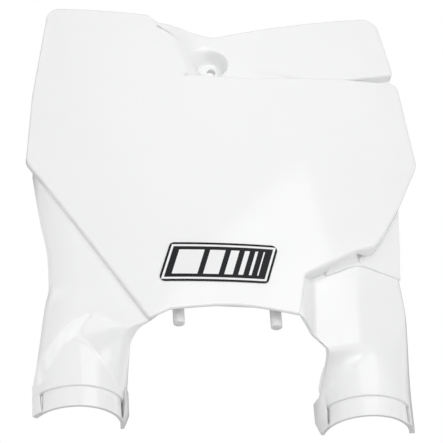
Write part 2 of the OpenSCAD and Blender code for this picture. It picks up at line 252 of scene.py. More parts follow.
def grid_faces(rows, cols, close_rows=False, close_cols=False):
    """Quads between neighbouring rows and columns of a grid, numbered row by row."""
    i, j = np.meshgrid(
        np.arange(rows if close_rows else rows - 1),
        np.arange(cols if close_cols else cols - 1), indexing="ij")
    i, j = i.ravel(), j.ravel()
    down, right = (i + 1) % rows, (j + 1) % cols
    return np.stack([i * cols + j, i * cols + right, down * cols + right, down * cols + j], 1)


def closed_tube(name, grid, close_rows=False):
    """A grid whose columns run round a closed path. Its rows meet end to end, or each end is
    closed by a fan about the mean of its row."""
    rows, cols = grid.shape[:2]
    points = grid.reshape(-1, 3)
    quads = grid_faces(rows, cols, close_rows, True)
    if close_rows:
        return new_piece(name, points, quads)
    around = np.arange(cols)
    after = (around + 1) % cols
    first, last = len(points), len(points) + 1
    points = np.concatenate([points, grid[0].mean(0)[None], grid[-1].mean(0)[None]])
    fans = np.concatenate([
        np.stack([np.full(cols, first), after, around], 1),
        np.stack([np.full(cols, last), (rows - 1) * cols + around, (rows - 1) * cols + after], 1)])
    return new_piece(name, points, quads, fans)


def moulded_edges(piece, width):
    """A live bevel of a width in millimetres on every edge sharper than 40 degrees."""
    edge = piece.modifiers.new("moulded edges", "BEVEL")
    edge.width = width * MM
    edge.segments = 2
    edge.limit_method = "ANGLE"
    edge.angle_limit = math.radians(40)


def level_normals(grid):
    """The direction across a surface, kept level: the cross product of the grid's two
    directions, with its upright part taken out."""
    across = np.gradient(grid, axis=1)
    down = np.gradient(grid, axis=0)
    normal = np.cross(across, down)
    normal[..., 2] = 0
    return normal / np.linalg.norm(normal, axis=-1, keepdims=True)


def sheet(name, front, thick, rim_r=0.6):
    """A closed moulded wall: the front grid, the same grid moved back by the thickness, and a
    half-round rim between them that stands out by rim_r."""
    normal = level_normals(front)
    thick = np.broadcast_to(thick, front.shape[:2])[..., None]
    back = front + normal * thick
    rows, cols = front.shape[:2]
    ring = np.concatenate([
        np.stack([np.zeros(cols - 1, int), np.arange(cols - 1)], 1),
        np.stack([np.arange(rows - 1), np.full(rows - 1, cols - 1)], 1),
        np.stack([np.full(cols - 1, rows - 1), np.arange(cols - 1, 0, -1)], 1),
        np.stack([np.arange(rows - 1, 0, -1), np.zeros(rows - 1, int)], 1)])
    i, j = ring.T
    inner_i, inner_j = np.clip(i, 1, rows - 2), np.clip(j, 1, cols - 2)
    out = front[i, j] - front[inner_i, inner_j]
    out /= np.linalg.norm(out, axis=1, keepdims=True)
    turns = np.radians([30, 60, 90, 120, 150])[:, None, None]
    middle = mix(front[i, j], back[i, j], 0.5)
    half = (front[i, j] - back[i, j]) / 2
    rim = middle + half * np.cos(turns) + out * np.sin(turns) * rim_r
    points = np.concatenate([front.reshape(-1, 3), back.reshape(-1, 3), rim.reshape(-1, 3)])
    count = rows * cols
    quads = grid_faces(rows, cols)
    loops = np.concatenate([
        (i * cols + j)[None],
        2 * count + np.arange(rim.shape[0] * len(ring)).reshape(rim.shape[0], -1),
        (count + i * cols + j)[None]])
    after = np.roll(loops, -1, 1)
    band = np.stack([loops[:-1], loops[1:], after[1:], after[:-1]], -1).reshape(-1, 4)
    new_piece(name, points, np.concatenate([quads, count + quads[:, ::-1], band]))


print("Surface helpers are ready")

# %% [markdown]
# ## The board
# On the real moulding the board is one bowed plate with a small radius along its edge and, along
# some stretches, a wall that hangs back from that edge. A boolean of boxes would leave long thin
# faces that show in gloss plastic. Here the plate is one closed skin instead: rings of points run
# from the middle of the front, over the rounded edge, down the wall and back to the middle of the
# rear. Each ring is the outline moved inwards or scaled towards a middle point.

# %% A bowed plate as one closed skin


def on_bow(points, depth):
    """Flat (x, z) points laid on the bowed layer at a depth behind the board's front."""
    return np.stack([points[..., 0], board_y(points[..., 0]) + depth, points[..., 1]], -1)


def edge_rings(outline, front, reach, radius, lip=0.35):
    """Rings over a rounded edge: a quarter ellipse from the front face to the side, the side down
    to its reach, a small lower radius, and the inner side."""
    into = inward(outline)
    turns = np.radians([12, 24, 36, 48, 60, 72, 82, 90])
    drop = 1.05 * radius
    rings = [on_bow(outline + into * radius * (1 - math.sin(a)), front + drop * (1 - math.cos(a)))
             for a in turns]
    rings += [on_bow(outline, mix(front + drop, reach - lip, t)) for t in (0.35, 0.7, 1.0)]
    rings += [on_bow(outline + into * lip * 0.3, reach - lip * 0.3),
              on_bow(outline + into * lip, reach),
              on_bow(outline + into * wall_foot, reach)]
    return rings


def plate(name, outline, middle, front, reach, radius=edge_r, thick=wall, rings=44):
    """A bowed plate: the front face scaled out from the middle, the edge, and the rear face
    scaled back in to the middle."""
    middle = np.array(middle, float)
    reach = np.broadcast_to(reach, len(outline))
    face = outline + inward(outline) * radius
    rear = outline + inward(outline) * rear_inset
    out = np.linspace(0.02, 1, rings)[:, None, None]
    front_rings = on_bow(middle + (face - middle) * out, front)
    rear_rings = on_bow(middle + (rear - middle) * out[::-1], front + thick)
    edge = edge_rings(outline, front, reach, radius)
    return closed_tube(name, np.concatenate([front_rings, np.stack(edge), rear_rings]))


board_corners = [
    (-123.5, 52, 9), (-49, 41, 6), (-40.5, 32.5, 2), (-21.5, -15.5, 2), (25, -16.5, 60),
    (146, 0.5, 6), (154.2, -74, 12), (134, -118, 40), (120, -142.5, 30), (111, -155.5, 6),
    (96, -161.8, 20), (55.5, -187, 4), (49.5, -220.5, 2), (5, -214.5, 200), (-43, -219.5, 6),
    (-57.5, -226.5, 2), (-140.6, -88, 12), (-136, -30, 60)]
board_walls = [
    ([(-150, -80), (-132, -80), (-56, -207), (-56, -232), (-75, -232)], left_step + bite),
    ([(52, -190), (52, -176), (79, -160), (79, -182), (62, -195)], leg_step + bite),
    ([(78, -158), (78, -182), (97.4, -174), (97.4, -150)], scoop_edge + bite),
    ([(101.5, -152), (101.5, -166), (118, -160), (145, -115), (136, -100), (120, -120)],
     right_step + bite),
    ([(-24, -19), (-24, -5), (96, -2), (96, -22)], wing_step + bite),
    ([(95, -2), (95, -22), (152, -12), (152, 8)], groove_depth - bite)]
board_outline = rounded(board_corners)
plate("board", board_outline, (-60, -60), 0, edge_depths(board_outline, wall, board_walls))

# %% [markdown]
# ## The wing, its ramp and the bolt pocket
# The wing is a second bowed plate, one step behind the board. Next to the cut corner of the board
# it rises to the board's front over a soft ramp, and the round pocket for the bolt head is part of
# it. A plate with a hole could be cut with a boolean, but its edge would be hard. The outline is
# seen from the pocket's middle instead, so that every point of it has a partner on the pocket's
# mouth. One closed skin then runs over the mouth, down the pocket, up the ring on its floor,
# through the bolt hole and out again along the rear.

# %% The wing with its pocket
pocket_r = 11.0
floor_t = 3.0
boss_h = 2.2
# Wall of the pocket as (radius, share of the height): steep at the right, dished at the left
steep_wall = [(8.8, 0.04), (9.15, 0.1), (9.6, 0.32), (10.1, 0.55), (10.6, 0.78), (11, 0.93),
              (11.15, 0.965), (11.4, 0.988), (11.8, 0.998), (12.3, 1)]
dished_wall = [(8, 0.02), (8.9, 0.08), (10, 0.22), (11.1, 0.41), (12.3, 0.6), (13.6, 0.77), (15, 0.88),
               (16.5, 0.95), (18.2, 0.988), (20, 1)]
cut_top, cut_foot = np.array([-40.5, 32.5]), np.array([-21.5, -15.5])
ramp_top_w, ramp_foot_w = 26.0, 17.0
ramp_tuck = 0.02

wing_corners = [
    (-45, 30.5, 1), (-40.3, 33.2, 2), (-22, 30.8, 14), (0, 24.5, 14), (135.5, 67, 11), (146, 14, 4),
    (96, -5, 1), (96, -13, 1), (25, -19, 1), (-25.5, -19, 1)]
wing_walls = [([(93, -14), (93, 2), (140, 20), (150, 20), (150, 4)], groove_depth - bite)]
wing_outline = rounded(wing_corners, spacing=1.2)


def wing_depth(points):
    """Depth of the wing's front behind the board's. It is a hair in front of the board along the
    board's cut edge and a whole step behind it beyond the ramp, whose width shrinks from its top
    to its foot. The slope between them is the smooth step."""
    cut = cut_foot - cut_top
    length = np.linalg.norm(cut)
    from_top = points - cut_top
    share = np.clip(from_top @ cut / length**2, 0, 1)
    beyond = (from_top[..., 1] * cut[0] - from_top[..., 0] * cut[1]) / length
    slope = smooth((beyond + 1) / mix(ramp_top_w, ramp_foot_w, share))
    return mix(-ramp_tuck, wing_step, slope)


def pocket_ring(turn, radius, y):
    """A level circle about the bolt axis at one Y, or at one Y for each turn."""
    return np.stack([radius * np.cos(turn), np.broadcast_to(y, turn.shape), radius * np.sin(turn)], -1)


def wing_with_pocket():
    """Rings from the pocket's mouth out over the wing, round its edge, in along the rear to the
    pocket's body, and through the bolt hole up the pocket's wall to the mouth again. The wall is a
    mix of the two profiles that changes with the turn about the bolt."""
    turn = np.arctan2(wing_outline[:, 1], wing_outline[:, 0])
    circle = np.stack([np.cos(turn), np.sin(turn)], 1)
    dished = smooth(0.5 - 0.8 * np.cos(turn - math.radians(15)))
    wall_r, wall_rise = (mix(a, b, dished[:, None])
                         for a, b in zip(np.array(steep_wall).T, np.array(dished_wall).T))
    face = wing_outline + inward(wing_outline) * edge_r
    rear = wing_outline + inward(wing_outline) * rear_inset
    share = np.linspace(0, 1, 64)[:, None, None]
    front = mix(circle * wall_r[:, -1:], face, share)
    rings = list(on_bow(front, wing_depth(front)))
    rings += edge_rings(wing_outline, wing_depth(face),
                        edge_depths(wing_outline, wing_step + wall, wing_walls), edge_r)
    body_r = pocket_r + wall
    rings += list(on_bow(mix(rear, circle * body_r, share[::2]), wing_step + wall))
    back_y = boss_h + floor_t
    for radius, y in [(body_r, 0), (body_r, back_y - 0.6), (body_r - 0.6, back_y), (6, back_y),
                      (hole_r + 0.3, back_y), (hole_r, back_y - 0.3), (hole_r, 2), (hole_r, 0.3),
                      (hole_r + 0.1, 0.1), (hole_r + 0.3, 0), (hole_r + 1.1, 0), (hole_r + 1.4, 0.15),
                      (hole_r + 1.7, 0.45), (hole_r + 3.3, boss_h - 0.25), (hole_r + 3.8, boss_h)]:
        rings.append(pocket_ring(turn, radius, y))
    for k in range(len(steep_wall) - 1):
        place = circle * wall_r[:, k:k + 1]
        front_y = board_y(place[:, 0]) + wing_depth(place)
        rings.append(pocket_ring(turn, wall_r[:, k], mix(boss_h, front_y, wall_rise[:, k])))
    closed_tube("wing", np.stack(rings), close_rows=True)


wing_with_pocket()

# %% The floor of the groove between wing and board
groove_outline = rounded([(92, -14, 1), (92, -3, 1), (145, 16, 1), (145.5, -5, 1)])
plate("groove_floor", groove_outline, (125, -1), groove_depth - wall, groove_depth, radius=0.2, rings=8)

# %% [markdown]
# ## The legs
# Each leg starts as a face behind the board and ends as half of a tube wall. The two shapes are
# mixed row by row: the share of the cup grows over a soft shoulder, whose height and length change
# across the leg. That is a loft whose in-between sections are given as tables, and it gives the
# broad highlights over the shoulders.

# %% Cup places and the mix from face to cup
cup_wall = 4.0
band_h = 15.3
band_depth = 1.6
cup_r = tube_r + cup_wall
collar_r = cup_r + 0.1
band_top = cup_bottom + band_h
inner_end = 90.0
cup_opens_over = 20.0
fold_half = 2.0


def cup_share(shoulder, fall, u, z, power=1):
    """0 on the leg's own face and 1 on the cup: it grows from the shoulder's height above the
    cup's foot downwards over the fall. With power 1 it is a straight slope and with power 2 it
    starts steeply and runs out softly. Its folds are rounded by the mean over a window of the
    given half height."""
    below = cup_bottom + smooth_table(shoulder, u) - z
    length = smooth_table(fall, u)
    steps = np.linspace(-fold_half, fold_half, 7)
    return sum(1 - (1 - np.clip((below + d) / length, 0, 1)) ** power for d in steps) / len(steps)


def around_cup(side, wrap, u):
    """X and Y on the cup's outside. X goes evenly from one end of the wrap to the other as u goes
    from 0 to 1, so that a face and its cup share their places in X."""
    first, last = (np.sin(np.radians(end)) for end in wrap)
    across = mix(first, last, u)
    return side * half_fork + collar_r * across, fork_back - collar_r * np.sqrt(1 - across**2)


def dense_ends(cols):
    """Places from 0 to 1 that lie close together at both ends, where a cup's wall turns back."""
    return (1 - np.cos(np.linspace(0, np.pi, cols)))[None, :] / 2


def inner_wrap(turn, z):
    """The turn where a cup ends on its inner side: it opens to a half round at the strap band."""
    return mix(turn, inner_end, smooth((band_top + cup_opens_over - z) / cup_opens_over))


def rolled_edge(distance, width=3.0, drop=2.2):
    """How far a face rolls back at a place near its edge: the square of what is left of the width."""
    return drop * np.maximum(0, 1 - distance / width) ** 2


def leg_rows(top, fine=1.2):
    """Heights from the top of a leg down to the strap band."""
    return np.linspace(top, band_top, int((top - band_top) / fine))


left_outer = [(-92, -135), (-129, -130.3), (-166, -124.7), (-189, -124.1), (-204, -126.8),
              (-227, -129.8), (-262, -134), (-280, -135.5)]
left_inner = [(-92, -133), (-97, -131), (-120, -118), (-150, -100), (-180, -82), (-205, -67),
              (-217, -49), (-225, -56), (-231, -64.5), (-240, -69), (-262, -69), (-280, -69)]
left_shoulder = [(0, 34), (0.1, 45), (0.2, 56.5), (0.3, 65), (0.42, 69), (0.55, 65), (0.7, 60),
                 (0.88, 56), (1, 60)]
left_fall = [(0, 19), (0.1, 21), (0.3, 20), (0.5, 18), (0.75, 28), (1, 42)]
skirt_roll_w, skirt_roll_depth = 22.0, 8.5


def left_leg_surface(cols=150):
    """The skirt follows the board's bow one step behind it. Over the roll's width, or over the
    whole width where that is less, it rolls back to its outer edge with the square of the
    distance. It is mixed with the left cup."""
    z = leg_rows(-92)[:, None]
    u = dense_ends(cols)
    outer = smooth_table(left_outer, z)
    inner = smooth_table(left_inner, z)
    x = mix(outer, inner, u)
    roll = np.maximum(0, 1 - (x - outer) / np.minimum(skirt_roll_w, inner - outer - 2))
    y = board_y(x) + left_step + skirt_roll_depth * roll**2 + rolled_edge(x - outer)
    share = cup_share(left_shoulder, left_fall, u, z)
    cup_x, cup_y = around_cup(-1, (-68, inner_wrap(80, z)), u)
    front = np.stack([mix(x, cup_x, share), mix(y, cup_y, share), z + 0 * u], -1)
    return front, mix(wall, collar_r - tube_r, share)


sheet("left_leg", *left_leg_surface())

# %% The right leg
foot_x = 51.5
right_edge_x, right_edge_y = 139.0, 16.0
right_inner = [(-166, 50), (-187, 49), (-219, 49), (-226, 58.5), (-233, 66), (-241, 71), (-262, 72),
               (-280, 72)]
right_fold_in = [(-166, 65.5), (-262, 59.5), (-280, 58.5)]
right_fold_out = [(-166, 99.5), (-262, 94), (-280, 93)]
right_outer = [(-166, 133.3), (-198, 135.8), (-244, 137.8), (-262, 136.8), (-280, 136)]
right_shoulder = [(0, 50), (0.3, 46), (0.47, 49.5), (0.66, 54), (0.81, 61), (0.95, 76), (1, 88)]
right_fall = [(0, 32), (0.3, 26), (0.5, 19), (0.7, 18), (0.9, 40), (1, 70)]
right_lip = [(0, -176), (0.3, -177), (0.4, -171.5), (0.5, -171), (0.55, -168), (0.6, -156),
             (0.65, -149), (0.69, -149), (0.74, -156), (0.79, -162), (1, -165)]
fold_soft = 1.6


def folded(x, places, values, soft):
    """A line through (place, value) points with each inner corner rounded: the mean of the
    straight-sided line over a window of the given half width."""
    steps = np.linspace(-soft, soft, 9)
    total = 0
    for step in steps:
        line = values[0]
        for k in range(len(places) - 1):
            share = np.clip((x + step - places[k]) / (places[k + 1] - places[k]), 0, 1)
            line = line + (values[k + 1] - values[k]) * share
        total = total + line
    return total / len(steps)


def right_face(x, z):
    """Y of the right leg's face: an inner face that runs back from the board's edge to the first
    fold, a front face between two folds that lie one step behind the bow, and an outer face that
    runs back to the outer edge."""
    fold_in = smooth_table(right_fold_in, z)
    fold_out = smooth_table(right_fold_out, z)
    foot_y = board_y(foot_x) + bite / 2
    return folded(x, [foot_x, fold_in, fold_out, right_edge_x],
                  [foot_y, board_y(fold_in) + leg_step, board_y(fold_out) + leg_step - 1, right_edge_y],
                  fold_soft)


def right_leg_surface(cols=170, lip_rows=12):
    """Rows first fan out from the slanted upper lip to a level line, then run down level.
    Columns cross the inner, front and outer face; the faces are mixed with the right cup."""
    u = dense_ends(cols)
    level = leg_rows(-184)[:, None] + 0 * u
    lip = smooth_table(right_lip, u)
    fan = mix(lip, level[:1], np.linspace(0, 1, lip_rows, endpoint=False)[:, None])
    z = np.concatenate([fan, level])
    start = smooth_table(right_inner, z)
    fold_in = np.maximum(smooth_table(right_fold_in, z), start + 1)
    fold_out = smooth_table(right_fold_out, z)
    outer = smooth_table(right_outer, z)
    x = np.where(u < 0.3, mix(start, fold_in, u / 0.3),
                 np.where(u < 0.65, mix(fold_in, fold_out, (u - 0.3) / 0.35),
                          mix(fold_out, outer, (u - 0.65) / 0.35)))
    y = right_face(x, z) + rolled_edge(outer - x)
    share = cup_share(right_shoulder, right_fall, u, z, power=2)
    cup_x, cup_y = around_cup(1, (-inner_wrap(74, z), 76), (x - start) / (outer - start))
    front = np.stack([mix(x, cup_x, share), mix(y, cup_y, share), z], -1)
    return front, mix(wall, collar_r - tube_r, share)


sheet("right_leg", *right_leg_surface())

# %% [markdown]
# ## Skirt and scoop
# Between the board's right edge and the right leg lie a triangular skirt and a small hollow scoop,
# with a dark notch between them. Both are ruled surfaces on a grid; the scoop's depth follows a
# quarter of a sine, which is the section of a spoon.

# %% The right skirt
skirt_in = [(-106, 138), (-118, 132.8), (-142, 118.8), (-152, 106.8), (-158, 102.8),
            (-161.5, 101.6), (-163.8, 102.2), (-165.7, 104.2)]
skirt_out = [(-106, 139), (-111, 137.6), (-135, 136.2), (-166, 133.8)]
skirt_out_y = [(-106, 10), (-111, 10.4), (-135, 11.8), (-166, 13.2)]
skirt_top, skirt_foot = -106.0, -165.7
skirt_tip_depth = 8.0
skirt_drop = 3.4


def skirt_surface(rows=70, cols=40):
    """Straight lines from the board's edge, at a depth that grows from the upper tip, to the outer
    edge. They drop more and more towards the outer edge on the way down."""
    z = np.linspace(skirt_top, skirt_foot, rows)[:, None]
    u = np.linspace(0, 1, cols)[None, :]
    x0 = smooth_table(skirt_in, z)
    y0 = board_y(x0) + np.minimum(right_step, (right_edge_x - x0) * 2 + skirt_tip_depth)
    x = mix(x0, smooth_table(skirt_out, z), u)
    y = mix(y0, smooth_table(skirt_out_y, z), u)
    drop = skirt_drop * u * np.linspace(0, 1, rows)[:, None]
    return np.stack([x, y, z - drop], -1)


sheet("right_skirt", skirt_surface(), wall)

# %% The scoop
scoop_upper = [(74, -174.6), (96, -161), (101, -158.8), (104, -157.5)]
scoop_lower = [(74, -178.3), (84.5, -172.8), (94, -168), (98.5, -166.6), (104, -165.9)]
scoop_left, scoop_right = (78.0, 74.5), (97.3, 103.7)


def scoop_surface(rows=40, cols=36):
    """Columns go to the right under the board's edge and rows go down. Depth grows from the
    board's edge to the leg's face as the sine of a quarter turn. The left end is straight and the
    right end leaves its upper place with the square of the way down."""
    u = np.linspace(0, 1, cols)[None, :]
    v = np.linspace(0, 1, rows)[:, None]
    x = mix(mix(*scoop_left, v), mix(*scoop_right, v**2), u)
    depth = mix(scoop_edge, right_step, np.sin(np.pi / 2 * v))
    z = mix(smooth_table(scoop_upper, x), smooth_table(scoop_lower, x), v)
    return np.stack([x, board_y(x) + depth, z], -1)


sheet("scoop", scoop_surface(), wall)

# %% [markdown]
# ## The fork cups
# Each cup is half of a tube wall. A rubber strap runs round it in a shallow band, through a tapered
# slot at either end, and hooks behind the lugs. A closed section in radius and height is swept
# round the fork axis, and the ends of the sweep may lean with the height, which gives the slots
# their taper.

# %% Sections swept about a fork axis
inner_slot = 60.4
outer_slot = 48.9
outer_ends = {-1: 68.0, 1: 78.0}
slot_w = 4.0
slot_rim = 2.3
sill_tuck = 3.0
bore_share = 0.06
lug_h = band_h + 8.7
lug_r = cup_r + 2
lug_chamfer = 9.0


def slot_edge(turn, way, section):
    """The turn of one side of a slot for each (radius, height) of a section. Its core pulls straight
    forwards, so the sides keep their place in X, and they close in to a small share of the width
    at the bore. The slot is slot_w wide at the band's top and half of that below; way is 1 for its
    far side, -1 for its near side."""
    radius, height = np.array(section, float).T
    rise = np.clip((height - slot_rim) / (band_h - slot_rim), 0, 1)
    draft = mix(bore_share, 1, np.clip((radius - tube_r) / (cup_r - tube_r), 0, 1))
    half = mix(slot_w / 4, slot_w / 2, rise) * draft
    place = cup_r * math.sin(math.radians(turn)) + way * half
    return np.degrees(np.arcsin(np.minimum(place / radius, 0.997)))


def swept(name, side, section, start, end, steps):
    """A closed (radius, height) section swept about one fork axis. Start and end are turns in
    degrees, counted from the front towards the inner side, given once or for each section point."""
    section = np.array(section, float)
    radius, height = section.T
    share = np.linspace(0, 1, steps)[:, None]
    turn = np.radians(mix(np.broadcast_to(start, radius.shape), np.broadcast_to(end, radius.shape), share))
    x = side * half_fork - side * radius * np.sin(turn)
    y = fork_back - radius * np.cos(turn)
    z = np.broadcast_to(cup_bottom + height, x.shape)
    moulded_edges(closed_tube(name, np.stack([x, y, z], -1)), 0.35)


def band_section(r_out, low, high):
    """A section with the bore on its inner side, and enough points upright to follow a slot."""
    heights = np.linspace(low, high, 8)
    return [(tube_r, h) for h in heights] + [(r_out, h) for h in heights[::-1]]


for side, word in ((-1, "left"), (1, "right")):
    band = band_section(cup_r - band_depth, 0, band_h + 1)
    swept(f"{word}_strap_band", side, band, -slot_edge(outer_slot, -1, band),
          slot_edge(inner_slot, -1, band), 70)
    lug = [(tube_r, h) for h in np.linspace(0, lug_h, 8)] + [(lug_r, lug_h), (lug_r, lug_chamfer)]
    lug += [(mix(cup_r - band_depth, lug_r, share), lug_chamfer * share) for share in (2 / 3, 1 / 3, 0)]
    swept(f"{word}_inner_lug", side, lug, slot_edge(inner_slot, 1, lug), inner_end, 16)
    lug = band_section(cup_r + 0.05, 0, lug_h)
    swept(f"{word}_outer_lug", side, lug, -outer_ends[side], -slot_edge(outer_slot, 1, lug), 14)
    sill = band_section(cup_r - band_depth - 0.03, 0.02, slot_rim)
    for end, way, turn in (("inner", 1, inner_slot), ("outer", -1, outer_slot)):
        swept(f"{word}_{end}_slot_sill", side, sill, way * (slot_edge(turn, -1, sill) - sill_tuck),
              way * (slot_edge(turn, 1, sill) + sill_tuck), 8)

# %% [markdown]
# ## Pegs and ledge
# Behind the lower edge a ledge carries two round pegs that drop into the fork clamp. A peg is a
# profile turned about its axis; the ledge and its four gussets are short sections carried along X,
# whose front edge follows the bow.

# %% Pegs, ledge and gussets
peg_r = mounts["left_peg"]["dims"]["r_mm"]
half_pegs = mounts["right_peg"]["pos_m"][0] / MM
peg_y = mounts["left_peg"]["pos_m"][1] / MM
ledge_z = -204.0
peg_foot = ledge_z - 19
ledge_back = peg_y + peg_r + 1.5


def peg(name, x):
    """Circles about the peg's axis: a rounded foot, the shaft, and a flare under the ledge."""
    turn = np.linspace(0, 2 * np.pi, 48, endpoint=False)
    profile = [(peg_r - 1.0, 0), (peg_r - 0.5, 0.12), (peg_r - 0.15, 0.4), (peg_r, 0.9), (peg_r, 8),
               (peg_r, 15.5), (peg_r + 0.2, 17), (peg_r + 0.7, 18.3), (peg_r + 1.5, 19.2), (peg_r + 1.5, 20)]
    rings = [np.stack([x + r * np.cos(turn), peg_y + r * np.sin(turn), 0 * turn + peg_foot + h], -1)
             for r, h in profile]
    closed_tube(name, np.stack(rings))


def rib(name, xs, section):
    """A closed section carried along X. Each section point is (y, z); a Y of None means the front,
    just inside the board."""
    rows = [[(x, board_y(x) + bite if y is None else y, z) for y, z in section] for x in xs]
    moulded_edges(closed_tube(name, np.array(rows, float)), 0.3)


ledge_half = half_pegs + 9
gusset_off, gusset_half, gusset_h = 7.0, 1.0, 24.0
peg("left_peg", -half_pegs)
peg("right_peg", half_pegs)
rib("peg_ledge", np.linspace(-ledge_half, ledge_half, 24),
    [(None, ledge_z), (ledge_back, ledge_z), (ledge_back, ledge_z + wall), (None, ledge_z + wall)])
for side, word in ((-1, "left"), (1, "right")):
    for way, end in ((-1, "a"), (1, "b")):
        x = side * half_pegs + way * gusset_off
        rib(f"{word}_gusset_{end}", np.array([x - gusset_half, x, x + gusset_half]),
            [(None, ledge_z + 1), (ledge_back - 1, ledge_z + 1), (ledge_back - 1, ledge_z + wall),
             (None, ledge_z + gusset_h)])

# %% [markdown]
# ## The decal
# A sticker is a thin sheet of printed vinyl. It follows the bow a tenth of a millimetre in front of
# the board, and has the same kind of rounded skin as the board, with a far smaller radius.

# %% The decal's sheet
decal_w, decal_h, decal_lean, decal_corner = 88.0, 32.0, 10.0, 4.0
decal_centre = np.array([-7.0, -181.5])
decal_t, glue_gap = 0.35, 0.1
decal_outline = rounded([
    (decal_centre[0] + way * (decal_w - decal_lean) / 2 + rise * decal_lean / 2,
     decal_centre[1] + rise * decal_h / 2, decal_corner)
    for way, rise in ((-1, 1), (1, 1), (1, -1), (-1, -1))], spacing=1.0)
moulded = list(made)
decal = plate("vinyl_decal", decal_outline, decal_centre, -glue_gap - decal_t, -glue_gap,
              radius=0.12, thick=decal_t, rings=24)

# %% [markdown]
# ## White gloss plastic
# The board is injection-moulded polypropylene. It is nearly white, a little translucent, and glossy
# with a very faint orange-peel in its reflections. A plain colour would look like paper, so the
# roughness and a shallow bump vary with noise on Object coordinates, at the scale of the mould's
# polish.

# %% Helpers for materials


def new_material(name):
    """A node material with its shader; returns the material, its node tree and the shader."""
    material = bpy.data.materials.new(name)
    material.use_nodes = True
    tree = material.node_tree
    return material, tree, tree.nodes["Principled BSDF"]


def add_node(tree, kind, **settings):
    """A node of one kind with its properties set by name."""
    node = tree.nodes.new(kind)
    for key, value in settings.items():
        setattr(node, key, value)
    return node


def noise_on_object(tree, scale, detail):
    """Noise on Object coordinates, which are metres: a scale of 1000 gives spots of 1 mm."""
    place = add_node(tree, "ShaderNodeTexCoord")
    noise = add_node(tree, "ShaderNodeTexNoise")
    noise.inputs["Scale"].default_value = scale
    noise.inputs["Detail"].default_value = detail
    tree.links.new(place.outputs["Object"], noise.inputs["Vector"])
    return noise.outputs["Fac"]


def remapped(tree, value, low, high):
    """A value between 0 and 1 spread between two others."""
    spread = add_node(tree, "ShaderNodeMapRange")
    spread.inputs["To Min"].default_value = low
    spread.inputs["To Max"].default_value = high
    tree.links.new(value, spread.inputs["Value"])
    return spread.outputs["Result"]


def add_bump(tree, shader, height, strength, distance):
    """A bump of a given depth in metres on the shader's normal."""
    bump = add_node(tree, "ShaderNodeBump")
    bump.inputs["Strength"].default_value = strength
    bump.inputs["Distance"].default_value = distance
    tree.links.new(height, bump.inputs["Height"])
    tree.links.new(bump.outputs["Normal"], shader.inputs["Normal"])


# %% The plastic
def white_plastic():
    """Neutral white with slow changes of tone, light that spreads a millimetre under the skin,
    roughness from 0.06 to 0.1 and a faint bump."""
    material, tree, shader = new_material("white_gloss_plastic")
    tone = add_node(tree, "ShaderNodeMix", data_type="RGBA")
    tone.inputs["A"].default_value = (0.89, 0.892, 0.895, 1)
    tone.inputs["B"].default_value = (0.915, 0.917, 0.917, 1)
    tree.links.new(noise_on_object(tree, 14, 2), tone.inputs["Factor"])
    tree.links.new(tone.outputs["Result"], shader.inputs["Base Color"])
    tree.links.new(remapped(tree, noise_on_object(tree, 180, 3), 0.06, 0.1), shader.inputs["Roughness"])
    shader.inputs["IOR"].default_value = 1.49
    shader.inputs["Subsurface Weight"].default_value = 0.25
    shader.inputs["Subsurface Radius"].default_value = (1.0, 1.0, 0.95)
    shader.inputs["Subsurface Scale"].default_value = 0.0012
    add_bump(tree, shader, noise_on_object(tree, 60, 2), 0.1, 0.00008)
    return material


plastic = white_plastic()
for piece in moulded:
    piece.data.materials.append(plastic)
print(len(moulded), "moulded surfaces share", plastic.name)

# %% [markdown]
# ## Printed vinyl
# The decal is a generic sport bar: a black field with a white line inside its edge and slanted white
# bars that get thinner to the right. Its fields are worked out in the material from Object
# coordinates, so no picture is needed, and each edge stays crisp at any distance.

# %% The decal's print


def calculated(tree, operation, a, b=None):
    """One arithmetic node; a and b are sockets or numbers."""
    node = add_node(tree, "ShaderNodeMath", operation=operation)
    for socket, value in zip(node.inputs, (a, b)):
        if value is None:
            continue
        if isinstance(value, (int, float)):
            socket.default_value = value
        else:
            tree.links.new(value, socket)
    return node.outputs[0]


white_bars = [(-31, -13), (-9, 2), (6, 12), (16, 19.5), (23.5, 25.5), (29.5, 30.5)]
keyline_outer, keyline_inner, bar_margin = 1.7, 3.3, 6.0


